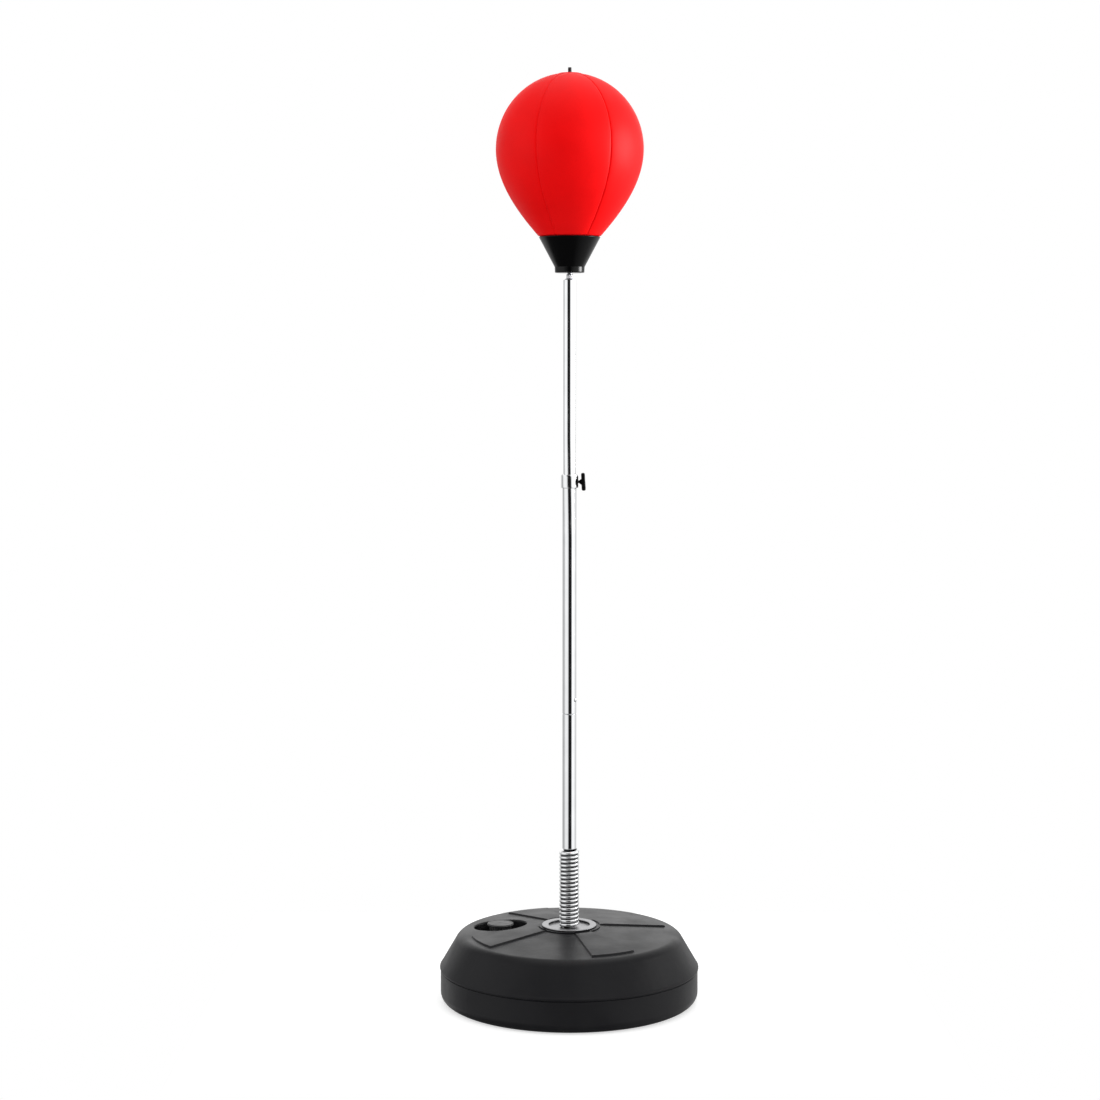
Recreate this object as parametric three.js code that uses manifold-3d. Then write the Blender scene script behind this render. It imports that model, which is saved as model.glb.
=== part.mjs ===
// Free-standing punching-ball stand: water-filled base, close-wound spring, telescopic pole, ball in a cup.
// Millimetres, +Z up. The origin is on the floor, on the pole's axis. The filler cap is on the -X side.
import * as THREE from 'three';
import * as BufferGeometryUtils from 'three/addons/utils/BufferGeometryUtils.js';
import Module from 'manifold-3d';

const wasm = await Module();
wasm.setup();

// ---------------------------------------------------------------- driving dimensions

const GAP = 0.3; // air left between pieces that touch
const PAST = 1; // how far a cutter, or a solid joined to another, runs past a face
const ROUND = 40; // facets round the base and the cup
const TUBE_ROUND = 24; // facets round the tubes, the cap and the ball
const SMALL_ROUND = 16; // facets round fasteners
const PAD_ARC_FACETS = 4; // facets along the outer arc of a fan pad
const POCKET_FACETS = 16; // facets round a quarter of the filler pocket
const BEND_FACETS = 3; // facets along a small rounded corner

const ABOVE_BASE = 140; // a height clear of the dome, where cutters for the base end
const BASE = {
  wallR: 215, footFillet: 16, wall: 4, footInnerR: 116, dishR: 112, dishZ: 6,
  grooveZ: 52.8, grooveDepth: 1.4, grooveFloorZ: 53.5, grooveTopZ: 54.5,
  lipR: 216.2, lipZ: 55.4, lipHeight: 2.2, slopeFootR: 214.2, slopeFootZ: 60.4,
  shoulderR: 184.5, shoulderZ: 111.3, shoulderFillet: 18, domeSlope: 0.0855,
  nutRecessR: 46, nutRecessZ: 18, columnR: 20, boltHoleR: 7,
  bossR: 51.5, bossZ: 124.3, seatR: 37.2, seatZ: 120.6,
};
const PADS = {
  azimuths: [-64.4, -154.4, 25.6, 115.6], rise: 2.5, rootDepth: 1.5,
  outerR: 166.5, outerHalfAngle: 13.6, innerX: 46, innerHalfWidth: 14.2,
};
const POCKET = { x: -115.7, y: 33, halfX: 43.8, halfY: 38, floorZ: 88 };
const NECK = { outerR: 14.9, boreR: 11.5, topZ: 110 };
const CAP = {
  discR: 22.4, discZ: 116.5, topZ: 120.5, edgeFillet: 1.8, skirtR: 17.6, ribDepth: 1, ribs: 18,
  skirtBoreR: 15.4, skirtZ: 100, sealR: 14.8, sealZ: 110.3, sealTop: 112.5,
};

const FLANGE = {
  ringR: 45.8, topZ: 126.6, floorZ: 122.9, dishR: 34, dishTaper: 0.4,
  edgeFillet: 1.2, sheet: 2, boltHoleR: 6.6,
};
const BOLT = { shankR: 5.9, headZ: 5, headTop: 12.5, headAcross: 18, endZ: 144 };
const BASE_WASHER = { outerR: 34, innerR: 6.6, z0: 15.2, z1: 17.7 };
const LOCK_WASHER = { outerR: 10.5, innerR: 6.6, z0: 12.8, z1: 14.9 };

const SPRING = {
  meanR: 13.55, wireR: 3.1, pitch: 6.7, startZ: 126.35, startAngle: -168, turns: 18.6,
  stepsPerTurn: 10, wireFacets: 6,
};
const STUB = { r: 9.5, z0: 123.2, z1: 152, chamfer: 2, holeR: 6.3, holeTop: 146 };

const TUBE = { outerR: 11.65, innerR: 10.45 };
const LOWER = {
  neckZ: 225, neckR: 9.5, neckBoreR: 8.3, shoulderZ: 251.8, bodyZ: 255.4, topZ: 481.6, boreTaper: 0.6,
  spigotR: 10.1, spigotBoreR: 8.9, spigotRoot: 2, spigotTop: 545,
};
const MIDDLE = { z0: 482.5, z1: 872 };
const UPPER = { outerR: 10.25, innerR: 9.05, z0: 790, z1: 1197.5 };

const BUTTON = {
  z: 505.4, azimuth: -32, holeR: 3.6, r: 3.2, tip: 13.45, domeLength: 1.6,
  headR: 4.6, headBack: 5, headFront: 7.2,
};
const CLIP = {
  width: 7, thickness: 0.8, topZ: 512, bendZ: 470, bendHalfWidth: 1.5, frontX: 4.6, backX: -7.8,
};

const COLLAR = {
  r: 13.8, z0: 856.8, taperZ: 877, taperR: 13.4, z1: 879, edgeFillet: 0.8,
  lowerBoreR: 11.95, stepZ: 872.3, upperBoreR: 10.65,
};
const KNOB = {
  z: 867, bossR: 9.8, bossX: 14.3, screwHoleR: 2.9, screwR: 2.5, screwX: 12.1, screwEnd: 21,
  hubX: 16.6, hubR: 3.3, hubWideR: 5.6, barX: 19.2, barEndX: 26.4, barHeight: 29.6, barWidth: 7,
  barCorner: 2.4, boreR: 2.8,
};
const PAD_SLUG = { r: 2.5, x0: 10.6, x1: 11.8 };

const TOP_PLUG = { r: 8.75, z0: 1172, z1: 1197.2, holeR: 4.3, holeZ: 1178 };
const STUD = { r: 4, z0: 1179, z1: 1224 };
const STUD_WASHER = { outerR: 7.4, innerR: 4.4, z0: 1197.9, z1: 1199 };
const STUD_NUT = { across: 10.6, innerR: 4.35, z0: 1199.4, z1: 1206.2 };

const CUP = {
  bottomZ: 1208.9, bottomR: 24.1, bottomFillet: 1, bandR: 24.5, bandZ: 1218.3,
  rimR: 50.2, rimZ: 1266.6, rimTop: 1267.4, wall: 2.6, floor: 4.2, holeR: 4.6,
};
const BALL = {
  widestZ: 1409, widestR: 120.5, topHeight: 122, tailLength: 195, cupSeatZ: 1224.8, leaveCupZ: 1268.4,
  skin: 2.2, gores: 6, firstSeam: -27, patchR: 21, anchorHoleR: 12, tailSteps: 7, crownSteps: 6,
};
const BLADDER = { wall: 1.2, gap: 0.4, valveHoleR: 3.4, bottomR: 20, bottomZ: 1234, bottomBulge: 1 };
const ANCHOR = {
  discR: 17, discZ: 1227.2, discTop: 1229.8, bossR: 7.5, bossZ: 1213.4, holeR: 4.35, holeTop: 1226,
};
const PATCH_MIDDLE = 0.55; // where the top patch's curve has its middle corner, as a share of its radius
const VALVE = { r: 3, topZ: 1540, tipFillet: 0.8, inside: 6, flangeR: 9, flangeThickness: 1.4 };

// ---------------------------------------------------------------- shape helpers

const radians = THREE.MathUtils.degToRad;

// A closed geometry as a manifold solid with its faces pointing out.
function toSolid(geometry) {
  const bare = geometry.clone();
  bare.deleteAttribute('normal');
  bare.deleteAttribute('uv');
  const merged = BufferGeometryUtils.mergeVertices(bare, 1e-4);
  const index = merged.index.array;
  const triangles = [];
  for (let i = 0; i < index.length; i += 3) {
    const [a, b, c] = [index[i], index[i + 1], index[i + 2]];
    if (a !== b && b !== c && c !== a) triangles.push([a, b, c]);
  }
  const corner = (i) => new THREE.Vector3().fromBufferAttribute(merged.attributes.position, i);
  const signedVolume = ([a, b, c]) => corner(a).dot(corner(b).cross(corner(c)));
  const volume = triangles.reduce((sum, triangle) => sum + signedVolume(triangle), 0);
  const facing = volume < 0 ? triangles.map(([a, b, c]) => [a, c, b]) : triangles;
  return new wasm.Manifold(new wasm.Mesh({
    numProp: 3,
    vertProperties: Float32Array.from(merged.attributes.position.array),
    triVerts: Uint32Array.from(facing.flat()),
  }));
}

function toGeometry(solid) {
  const mesh = solid.getMesh();
  const geometry = new THREE.BufferGeometry();
  geometry.setAttribute('position', new THREE.BufferAttribute(Float32Array.from(mesh.vertProperties), 3));
  geometry.setIndex(new THREE.BufferAttribute(Uint32Array.from(mesh.triVerts), 1));
  geometry.computeVertexNormals();
  return geometry;
}

// Replaces each corner [r, z, fillet, steps] of an outline by an arc that touches both of its sides.
function withFillets(outline) {
  const points = [];
  outline.forEach(([r, z, fillet, steps = 3], i) => {
    const here = new THREE.Vector2(r, z);
    if (!fillet) {
      points.push(here);
      return;
    }
    const before = new THREE.Vector2(...outline[i - 1].slice(0, 2)).sub(here).normalize();
    const after = new THREE.Vector2(...outline[i + 1].slice(0, 2)).sub(here).normalize();
    const halfAngle = Math.acos(before.dot(after)) / 2;
    const bisector = before.clone().add(after).normalize();
    const centre = here.clone().addScaledVector(bisector, fillet / Math.sin(halfAngle));
    const reach = fillet / Math.tan(halfAngle);
    const from = here.clone().addScaledVector(before, reach).sub(centre);
    const to = here.clone().addScaledVector(after, reach).sub(centre);
    const sweep = Math.atan2(from.cross(to), from.dot(to));
    for (let k = 0; k <= steps; k += 1) {
      points.push(from.clone().rotateAround(new THREE.Vector2(), (sweep * k) / steps).add(centre));
    }
  });
  return points;
}

// An open outline moved sideways by distance, to the left of its direction, with mitred corners.
function offsetOutline(points, distance) {
  const corners = points.map(([r, z]) => new THREE.Vector2(r, z));
  return corners.map((here, i) => {
    const normals = [];
    if (i > 0) normals.push(here.clone().sub(corners[i - 1]).normalize());
    if (i < corners.length - 1) normals.push(corners[i + 1].clone().sub(here).normalize());
    const sides = normals.map((along) => new THREE.Vector2(-along.y, along.x));
    const mitre = sides.reduce((sum, side) => sum.clone().add(side)).normalize();
    const moved = here.clone().addScaledVector(mitre, distance / mitre.dot(sides[0]));
    return [moved.x, moved.y];
  });
}

// A solid of revolution about Z. The outline either starts and ends on the axis or is closed here.
function revolve(outline, facets) {
  const points = withFillets(outline);
  const onAxis = points[0].x === 0 && points[points.length - 1].x === 0;
  if (!onAxis) points.push(points[0].clone());
  return toSolid(new THREE.LatheGeometry(points, facets).rotateX(Math.PI / 2));
}

function ring(outerR, innerR, z0, z1, facets) {
  return revolve([[innerR, z0], [outerR, z0], [outerR, z1], [innerR, z1]], facets);
}

function rod(r, z0, z1, facets) {
  return revolve([[0, z0], [r, z0], [r, z1], [0, z1]], facets);
}

// An extruded outline standing between two heights.
function prism(shape, z0, z1, curveSegments = BEND_FACETS) {
  const geometry = new THREE.ExtrudeGeometry(shape, { depth: z1 - z0, bevelEnabled: false, curveSegments });
  return toSolid(geometry.translate(0, 0, z0));
}

function hexagon(across) {
  const shape = new THREE.Shape();
  for (let i = 0; i < 6; i += 1) {
    const angle = radians(60 * i);
    const r = across / Math.sqrt(3);
    shape[i === 0 ? 'moveTo' : 'lineTo'](r * Math.cos(angle), r * Math.sin(angle));
  }
  return shape.closePath();
}

function oval(halfX, halfY) {
  return new THREE.Shape().absellipse(0, 0, halfX, halfY, 0, 2 * Math.PI);
}

// The same solid with its Z axis laid along +X.
const laidAlongX = (solid) => solid.rotate([0, 90, 0]);

// ---------------------------------------------------------------- base

const domeZ = (r) => BASE.shoulderZ + (BASE.shoulderR - r) * BASE.domeSlope;

function tankOutside() {
  return revolve([
    [BASE.boltHoleR, BASE.nutRecessZ],
    [BASE.nutRecessR, BASE.nutRecessZ],
    [BASE.nutRecessR + 2, BASE.dishZ],
    [BASE.dishR, BASE.dishZ],
    [BASE.footInnerR, 0],
    [BASE.wallR, 0, BASE.footFillet, 4],
    [BASE.wallR, BASE.grooveZ],
    [BASE.wallR - BASE.grooveDepth, BASE.grooveFloorZ],
    [BASE.wallR - BASE.grooveDepth, BASE.grooveTopZ],
    [BASE.lipR, BASE.lipZ],
    [BASE.lipR, BASE.lipZ + BASE.lipHeight],
    [BASE.slopeFootR, BASE.slopeFootZ],
    [BASE.shoulderR, BASE.shoulderZ, BASE.shoulderFillet, 5],
    [BASE.bossR, domeZ(BASE.bossR)],
    [BASE.bossR, BASE.bossZ],
    [BASE.seatR, BASE.bossZ],
    [BASE.seatR, BASE.seatZ],
    [BASE.boltHoleR, BASE.seatZ],
  ], ROUND);
}

// The water space: the main outline, one wall thickness further in, round the central column.
function tankInside() {
  const skin = [
    [BASE.columnR, BASE.nutRecessZ],
    [BASE.nutRecessR, BASE.nutRecessZ],
    [BASE.nutRecessR + 2, BASE.dishZ],
    [BASE.dishR, BASE.dishZ],
    [BASE.footInnerR, 0],
    [BASE.wallR, 0],
    [BASE.wallR, BASE.slopeFootZ],
    [BASE.shoulderR, BASE.shoulderZ],
    [BASE.seatR + 3, domeZ(BASE.seatR + 3)],
    [BASE.seatR, BASE.seatZ],
    [BASE.columnR, BASE.seatZ],
  ];
  return revolve(offsetOutline(skin, BASE.wall), ROUND);
}

// One raised fan on the dome: straight edges that spread outward and an arc round the outside.
function fanPad(azimuth) {
  const half = radians(PADS.outerHalfAngle);
  const shape = new THREE.Shape();
  shape.moveTo(PADS.innerX, -PADS.innerHalfWidth);
  shape.lineTo(PADS.outerR * Math.cos(half), -PADS.outerR * Math.sin(half));
  shape.absarc(0, 0, PADS.outerR, -half, half);
  shape.lineTo(PADS.innerX, PADS.innerHalfWidth);
  const root = BASE.shoulderZ - PADS.rootDepth;
  return prism(shape.closePath(), root, ABOVE_BASE, PAD_ARC_FACETS).rotate([0, 0, azimuth]);
}

function fanPads() {
  const domeTop = revolve([
    [0, BASE.shoulderZ - BASE.wall],
    [BASE.shoulderR, BASE.shoulderZ - BASE.wall],
    [BASE.shoulderR, BASE.shoulderZ + PADS.rise],
    [0, domeZ(0) + PADS.rise],
  ], ROUND);
  const fans = PADS.azimuths.map(fanPad).reduce((all, fan) => all.add(fan));
  return fans.intersect(domeTop);
}

const atPocket = (solid) => solid.translate([POCKET.x, POCKET.y, 0]);

function pocketSolid(grow) {
  const outline = oval(POCKET.halfX + grow, POCKET.halfY + grow);
  return prism(outline, POCKET.floorZ - grow, ABOVE_BASE, POCKET_FACETS);
}

function baseTank() {
  const pocket = atPocket(pocketSolid(0));
  const water = tankInside().subtract(atPocket(pocketSolid(BASE.wall)));
  const neck = atPocket(rod(NECK.outerR, POCKET.floorZ - BASE.wall, NECK.topZ, TUBE_ROUND));
  const neckBore = atPocket(rod(NECK.boreR, POCKET.floorZ - 2 * BASE.wall, NECK.topZ + PAST, TUBE_ROUND));
  return tankOutside().add(fanPads()).subtract(pocket).subtract(water).add(neck).subtract(neckBore);
}

function ribbedSkirt() {
  const shape = new THREE.Shape();
  const corners = CAP.ribs * 2;
  for (let i = 0; i < corners; i += 1) {
    const r = CAP.skirtR + (i % 2 ? 0 : CAP.ribDepth);
    const angle = (2 * Math.PI * i) / corners;
    shape[i === 0 ? 'moveTo' : 'lineTo'](r * Math.cos(angle), r * Math.sin(angle));
  }
  return prism(shape.closePath(), CAP.skirtZ, (CAP.discZ + CAP.topZ) / 2);
}

function fillCap() {
  const disc = revolve([
    [0, CAP.discZ],
    [CAP.discR, CAP.discZ],
    [CAP.discR, CAP.topZ, CAP.edgeFillet, 2],
    [0, CAP.topZ],
  ], TUBE_ROUND);
  const hollow = rod(CAP.skirtBoreR, CAP.skirtZ - PAST, CAP.sealTop + GAP, TUBE_ROUND);
  return disc.add(ribbedSkirt()).subtract(hollow);
}

const capSeal = () => rod(CAP.sealR, CAP.sealZ, CAP.sealTop, TUBE_ROUND);

// ---------------------------------------------------------------- hub fasteners and spring

function hubFlange() {
  const under = FLANGE.floorZ - FLANGE.sheet;
  return revolve([
    [FLANGE.boltHoleR, under],
    [FLANGE.dishR + FLANGE.sheet, under],
    [FLANGE.dishR + FLANGE.sheet + FLANGE.dishTaper, FLANGE.topZ - FLANGE.sheet],
    [FLANGE.ringR, FLANGE.topZ - FLANGE.sheet],
    [FLANGE.ringR, FLANGE.topZ, FLANGE.edgeFillet, 2],
    [FLANGE.dishR + FLANGE.dishTaper, FLANGE.topZ],
    [FLANGE.dishR, FLANGE.floorZ],
    [FLANGE.boltHoleR, FLANGE.floorZ],
  ], ROUND);
}

function centreBolt() {
  const head = prism(hexagon(BOLT.headAcross), BOLT.headZ, BOLT.headTop);
  return head.add(rod(BOLT.shankR, BOLT.headTop - PAST, BOLT.endZ, SMALL_ROUND));
}

const washer = ({ outerR, innerR, z0, z1 }) => ring(outerR, innerR, z0, z1, SMALL_ROUND);

function springStub() {
  const hole = rod(STUB.holeR, STUB.z0 - PAST, STUB.holeTop, SMALL_ROUND);
  return revolve([
    [0, STUB.z0],
    [STUB.r, STUB.z0],
    [STUB.r, STUB.z1, STUB.chamfer, 2],
    [0, STUB.z1],
  ], SMALL_ROUND).subtract(hole);
}

class RightHandHelix extends THREE.Curve {
  getPoint(t, target = new THREE.Vector3()) {
    const turned = SPRING.turns * t;
    const angle = radians(SPRING.startAngle) + 2 * Math.PI * turned;
    const height = SPRING.startZ + SPRING.pitch * turned;
    return target.set(SPRING.meanR * Math.cos(angle), SPRING.meanR * Math.sin(angle), height);
  }
}

function coilSpring() {
  const section = new THREE.Shape().absarc(0, 0, SPRING.wireR, 0, 2 * Math.PI);
  const steps = Math.round(SPRING.turns * SPRING.stepsPerTurn);
  const path = new RightHandHelix();
  path.arcLengthDivisions = 4 * steps;
  const curveSegments = SPRING.wireFacets / 2;
  return toSolid(new THREE.ExtrudeGeometry(section, { steps, extrudePath: path, curveSegments }));
}

// ---------------------------------------------------------------- pole

// A radial hole for the snap button through the tube walls on its side.
function buttonHole() {
  const drill = laidAlongX(rod(BUTTON.holeR, TUBE.innerR / 2, TUBE.outerR + 2, SMALL_ROUND));
  return drill.rotate([0, 0, BUTTON.azimuth]).translate([0, 0, BUTTON.z]);
}

function screwHole(r) {
  return laidAlongX(rod(r, TUBE.innerR / 2, COLLAR.r + 4, SMALL_ROUND)).translate([0, 0, KNOB.z]);
}

function lowerTube() {
  return revolve([
    [LOWER.neckR, LOWER.neckZ],
    [LOWER.neckR, LOWER.shoulderZ],
    [TUBE.outerR, LOWER.bodyZ],
    [TUBE.outerR, LOWER.topZ],
    [LOWER.spigotR, LOWER.topZ + LOWER.boreTaper],
    [LOWER.spigotR, LOWER.spigotTop],
    [LOWER.spigotBoreR, LOWER.spigotTop],
    [LOWER.spigotBoreR, LOWER.topZ],
    [TUBE.innerR, LOWER.topZ - LOWER.spigotRoot],
    [TUBE.innerR, LOWER.bodyZ + LOWER.boreTaper],
    [LOWER.neckBoreR, LOWER.shoulderZ + LOWER.boreTaper],
    [LOWER.neckBoreR, LOWER.neckZ],
  ], TUBE_ROUND).subtract(buttonHole());
}

function middleTube() {
  const tube = ring(TUBE.outerR, TUBE.innerR, MIDDLE.z0, MIDDLE.z1, TUBE_ROUND);
  return tube.subtract(buttonHole()).subtract(screwHole(KNOB.screwHoleR + GAP));
}

const upperTube = () => ring(UPPER.outerR, UPPER.innerR, UPPER.z0, UPPER.z1, TUBE_ROUND);

// The button lies along +X about its own height; its group turns it to its side of the tube.
function snapButton() {
  return laidAlongX(revolve([
    [0, BUTTON.headBack],
    [BUTTON.headR, BUTTON.headBack],
    [BUTTON.headR, BUTTON.headFront],
    [BUTTON.r, BUTTON.headFront],
    [BUTTON.r, BUTTON.tip, BUTTON.domeLength, 3],
    [0, BUTTON.tip],
  ], SMALL_ROUND));
}

// A leaf folded into a V: one leg stands behind the button, the other leans on the far wall.
function buttonClip() {
  const { width, thickness, topZ, bendZ, bendHalfWidth, frontX, backX } = CLIP;
  const middleX = (frontX + backX) / 2;
  const [foldX, foldBackX] = [middleX + bendHalfWidth, middleX - bendHalfWidth];
  const foldZ = bendZ + 2 * thickness;
  const side = new THREE.Shape();
  side.moveTo(frontX, topZ);
  side.lineTo(foldX, foldZ);
  side.quadraticCurveTo(middleX, bendZ - thickness, foldBackX, foldZ);
  side.lineTo(backX, topZ);
  side.lineTo(backX + thickness, topZ);
  side.lineTo(foldBackX + thickness, foldZ + thickness);
  side.quadraticCurveTo(middleX, bendZ + thickness, foldX - thickness, foldZ + thickness);
  side.lineTo(frontX - thickness, topZ);
  const settings = { depth: width, bevelEnabled: false, curveSegments: BEND_FACETS };
  const leaf = new THREE.ExtrudeGeometry(side.closePath(), settings);
  return toSolid(leaf.translate(0, 0, -width / 2).rotateX(Math.PI / 2)).translate([0, 0, -BUTTON.z]);
}

function clampCollar() {
  return revolve([
    [COLLAR.lowerBoreR, COLLAR.z0],
    [COLLAR.r, COLLAR.z0, COLLAR.edgeFillet, 2],
    [COLLAR.r, COLLAR.taperZ],
    [COLLAR.taperR, COLLAR.z1, COLLAR.edgeFillet, 2],
    [COLLAR.upperBoreR, COLLAR.z1],
    [COLLAR.upperBoreR, COLLAR.stepZ],
    [COLLAR.lowerBoreR, COLLAR.stepZ],
  ], TUBE_ROUND).subtract(screwHole(KNOB.screwHoleR));
}

// The round boss that carries the knob's thread, hollowed to sit against the collar.
function knobBoss() {
  const body = laidAlongX(rod(KNOB.bossR, 0, KNOB.bossX, TUBE_ROUND));
  const collarRoom = rod(COLLAR.r + GAP, -2 * KNOB.bossR, 2 * KNOB.bossR, TUBE_ROUND);
  return body.subtract(collarRoom).subtract(screwHole(KNOB.screwHoleR).translate([0, 0, -KNOB.z]));
}

function knobScrew() {
  return laidAlongX(rod(KNOB.screwR, KNOB.screwX, KNOB.screwEnd, SMALL_ROUND));
}

function knobHandle() {
  const hub = laidAlongX(revolve([
    [0, KNOB.hubX],
    [KNOB.hubR, KNOB.hubX],
    [KNOB.hubWideR, KNOB.barX + PAST],
    [0, KNOB.barX + PAST],
  ], SMALL_ROUND));
  const halfX = (KNOB.barEndX - KNOB.barX) / 2;
  const halfZ = KNOB.barHeight / 2;
  const corner = KNOB.barCorner;
  const outline = new THREE.Shape();
  outline.moveTo(-halfX + corner, -halfZ);
  outline.lineTo(halfX - corner, -halfZ);
  outline.quadraticCurveTo(halfX, -halfZ, halfX, -halfZ + corner);
  outline.lineTo(halfX, halfZ - corner);
  outline.quadraticCurveTo(halfX, halfZ, halfX - corner, halfZ);
  outline.lineTo(-halfX + corner, halfZ);
  outline.quadraticCurveTo(-halfX, halfZ, -halfX, halfZ - corner);
  outline.lineTo(-halfX, -halfZ + corner);
  outline.quadraticCurveTo(-halfX, -halfZ, -halfX + corner, -halfZ);
  const settings = { depth: KNOB.barWidth, bevelEnabled: false, curveSegments: BEND_FACETS };
  const bar = new THREE.ExtrudeGeometry(outline, settings);
  bar.translate(0, 0, -KNOB.barWidth / 2).rotateX(Math.PI / 2).translate(KNOB.barX + halfX, 0, 0);
  const socket = laidAlongX(rod(KNOB.boreR, KNOB.hubX - PAST, KNOB.screwEnd + GAP, SMALL_ROUND));
  return toSolid(bar).add(hub).subtract(socket);
}

const pressureSlug = () => laidAlongX(rod(PAD_SLUG.r, PAD_SLUG.x0, PAD_SLUG.x1, SMALL_ROUND));

// ---------------------------------------------------------------- top fitting and cup

function topPlug() {
  const hole = rod(TOP_PLUG.holeR, TOP_PLUG.holeZ, TOP_PLUG.z1 + PAST, SMALL_ROUND);
  return rod(TOP_PLUG.r, TOP_PLUG.z0, TOP_PLUG.z1, TUBE_ROUND).subtract(hole);
}

function studNut() {
  const hole = rod(STUD_NUT.innerR, STUD_NUT.z0 - PAST, STUD_NUT.z1 + PAST, SMALL_ROUND);
  return prism(hexagon(STUD_NUT.across), STUD_NUT.z0, STUD_NUT.z1).subtract(hole);
}

const cupSlope = (CUP.rimR - CUP.bandR) / (CUP.rimZ - CUP.bandZ);
const cupOuterR = (z) => CUP.bandR + Math.max(0, z - CUP.bandZ) * cupSlope;
const cupInnerR = (z) => cupOuterR(z) - CUP.wall;

function ballCup() {
  const floorZ = CUP.bottomZ + CUP.floor;
  return revolve([
    [CUP.holeR, CUP.bottomZ],
    [CUP.bottomR, CUP.bottomZ, CUP.bottomFillet, 2],
    [CUP.bandR, CUP.bandZ],
    [CUP.rimR, CUP.rimZ],
    [CUP.rimR - CUP.wall / 2, CUP.rimTop],
    [CUP.rimR - CUP.wall, CUP.rimZ],
    [cupInnerR(CUP.bandZ), CUP.bandZ],
    [cupInnerR(CUP.bandZ), floorZ],
    [CUP.holeR, floorZ],
  ], ROUND);
}

// ---------------------------------------------------------------- ball

// Radius of the ball's skin above the cup: an elliptic crown over a cosine tail.
function ballR(z) {
  if (z > BALL.widestZ) {
    const above = (z - BALL.widestZ) / BALL.topHeight;
    return BALL.widestR * Math.sqrt(Math.max(0, 1 - above * above));
  }
  const below = (BALL.widestZ - z) / BALL.tailLength;
  return BALL.widestR * Math.cos((Math.PI / 2) * below);
}

const crownZ = (r) => BALL.widestZ + BALL.topHeight * Math.sqrt(1 - (r / BALL.widestR) ** 2);

// The skin's outside from the anchor up to radius topR, as an open outline.
function skinOutline(topR) {
  const inCup = [BALL.cupSeatZ, CUP.rimZ].map((z) => [cupInnerR(z) - 2 * GAP, z]);
  const overRim = [inCup[1][0] + GAP, BALL.leaveCupZ - 2 * GAP];
  const outline = [[BALL.anchorHoleR, inCup[0][1] - GAP], ...inCup, overRim];
  for (let i = 0; i <= BALL.tailSteps; i += 1) {
    const z = BALL.leaveCupZ + ((BALL.widestZ - BALL.leaveCupZ) * i) / BALL.tailSteps;
    outline.push([ballR(z), z]);
  }
  const lastAngle = Math.acos(topR / BALL.widestR);
  for (let i = 1; i <= BALL.crownSteps; i += 1) {
    const angle = (lastAngle * i) / BALL.crownSteps;
    outline.push([BALL.widestR * Math.cos(angle), BALL.widestZ + BALL.topHeight * Math.sin(angle)]);
  }
  return outline;
}

// Six gores, each a slice of one thin shell between two seam planes.
function ballGores() {
  const outside = skinOutline(BALL.patchR + 2 * GAP);
  const inside = offsetOutline(outside, BALL.skin);
  const shell = revolve([...outside, ...inside.reverse()], TUBE_ROUND);
  const half = 180 / BALL.gores;
  const reach = 2 * BALL.widestR;
  const apex = GAP / 2 / Math.sin(radians(half));
  const slice = new THREE.Shape();
  slice.moveTo(apex, 0);
  slice.lineTo(apex + reach * Math.cos(radians(half)), -reach * Math.sin(radians(half)));
  slice.lineTo(apex + reach * Math.cos(radians(half)), reach * Math.sin(radians(half)));
  const wedge = prism(slice.closePath(), CUP.bottomZ, VALVE.topZ);
  return Array.from({ length: BALL.gores }, (_, i) => {
    const middle = BALL.firstSeam - 90 + half + (360 / BALL.gores) * i;
    return shell.rotate([0, 0, middle]).intersect(wedge.rotate([0, 0, middle]));
  });
}

function topPatch() {
  const outside = [BALL.patchR, BALL.patchR * PATCH_MIDDLE, VALVE.r + GAP].map((r) => [r, crownZ(r)]);
  const shell = revolve([...outside, ...offsetOutline(outside, BALL.skin).reverse()], TUBE_ROUND);
  return shell.rotate([0, 0, BALL.firstSeam]);
}

function bladder() {
  const skin = skinOutline(BALL.patchR + 2 * GAP);
  const middle = skin.filter(([, z]) => z > BLADDER.bottomZ);
  const lined = offsetOutline(middle, BALL.skin + BLADDER.gap);
  const flangeZ = crownZ(BALL.patchR) - BALL.skin - VALVE.flangeThickness - 2 * GAP;
  const bottom = [[0, BLADDER.bottomZ - BLADDER.bottomBulge], [BLADDER.bottomR, BLADDER.bottomZ]];
  const top = [[VALVE.flangeR + 2, flangeZ], [BLADDER.valveHoleR, flangeZ]];
  const outside = [...bottom, ...lined, ...top];
  const inside = offsetOutline(outside, BLADDER.wall).map(([r, z], i) => [i === 0 ? 0 : r, z]);
  return revolve([...outside, ...inside.reverse()], TUBE_ROUND).rotate([0, 0, BALL.firstSeam]);
}

function anchorDisc() {
  const body = revolve([
    [0, ANCHOR.bossZ],
    [ANCHOR.bossR, ANCHOR.bossZ],
    [ANCHOR.bossR, ANCHOR.discZ],
    [ANCHOR.discR, ANCHOR.discZ],
    [ANCHOR.discR, ANCHOR.discTop],
    [0, ANCHOR.discTop],
  ], SMALL_ROUND);
  return body.subtract(rod(ANCHOR.holeR, ANCHOR.bossZ - PAST, ANCHOR.holeTop, SMALL_ROUND));
}

function valveStem() {
  const flangeZ = crownZ(BALL.patchR) - BALL.skin - VALVE.flangeThickness - GAP;
  return revolve([
    [0, flangeZ - VALVE.inside],
    [VALVE.r, flangeZ - VALVE.inside],
    [VALVE.r, flangeZ],
    [VALVE.flangeR, flangeZ],
    [VALVE.flangeR, flangeZ + VALVE.flangeThickness],
    [VALVE.r, flangeZ + VALVE.flangeThickness],
    [VALVE.r, VALVE.topZ, VALVE.tipFillet, 2],
    [0, VALVE.topZ],
  ], SMALL_ROUND);
}

// ---------------------------------------------------------------- materials and assembly

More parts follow.
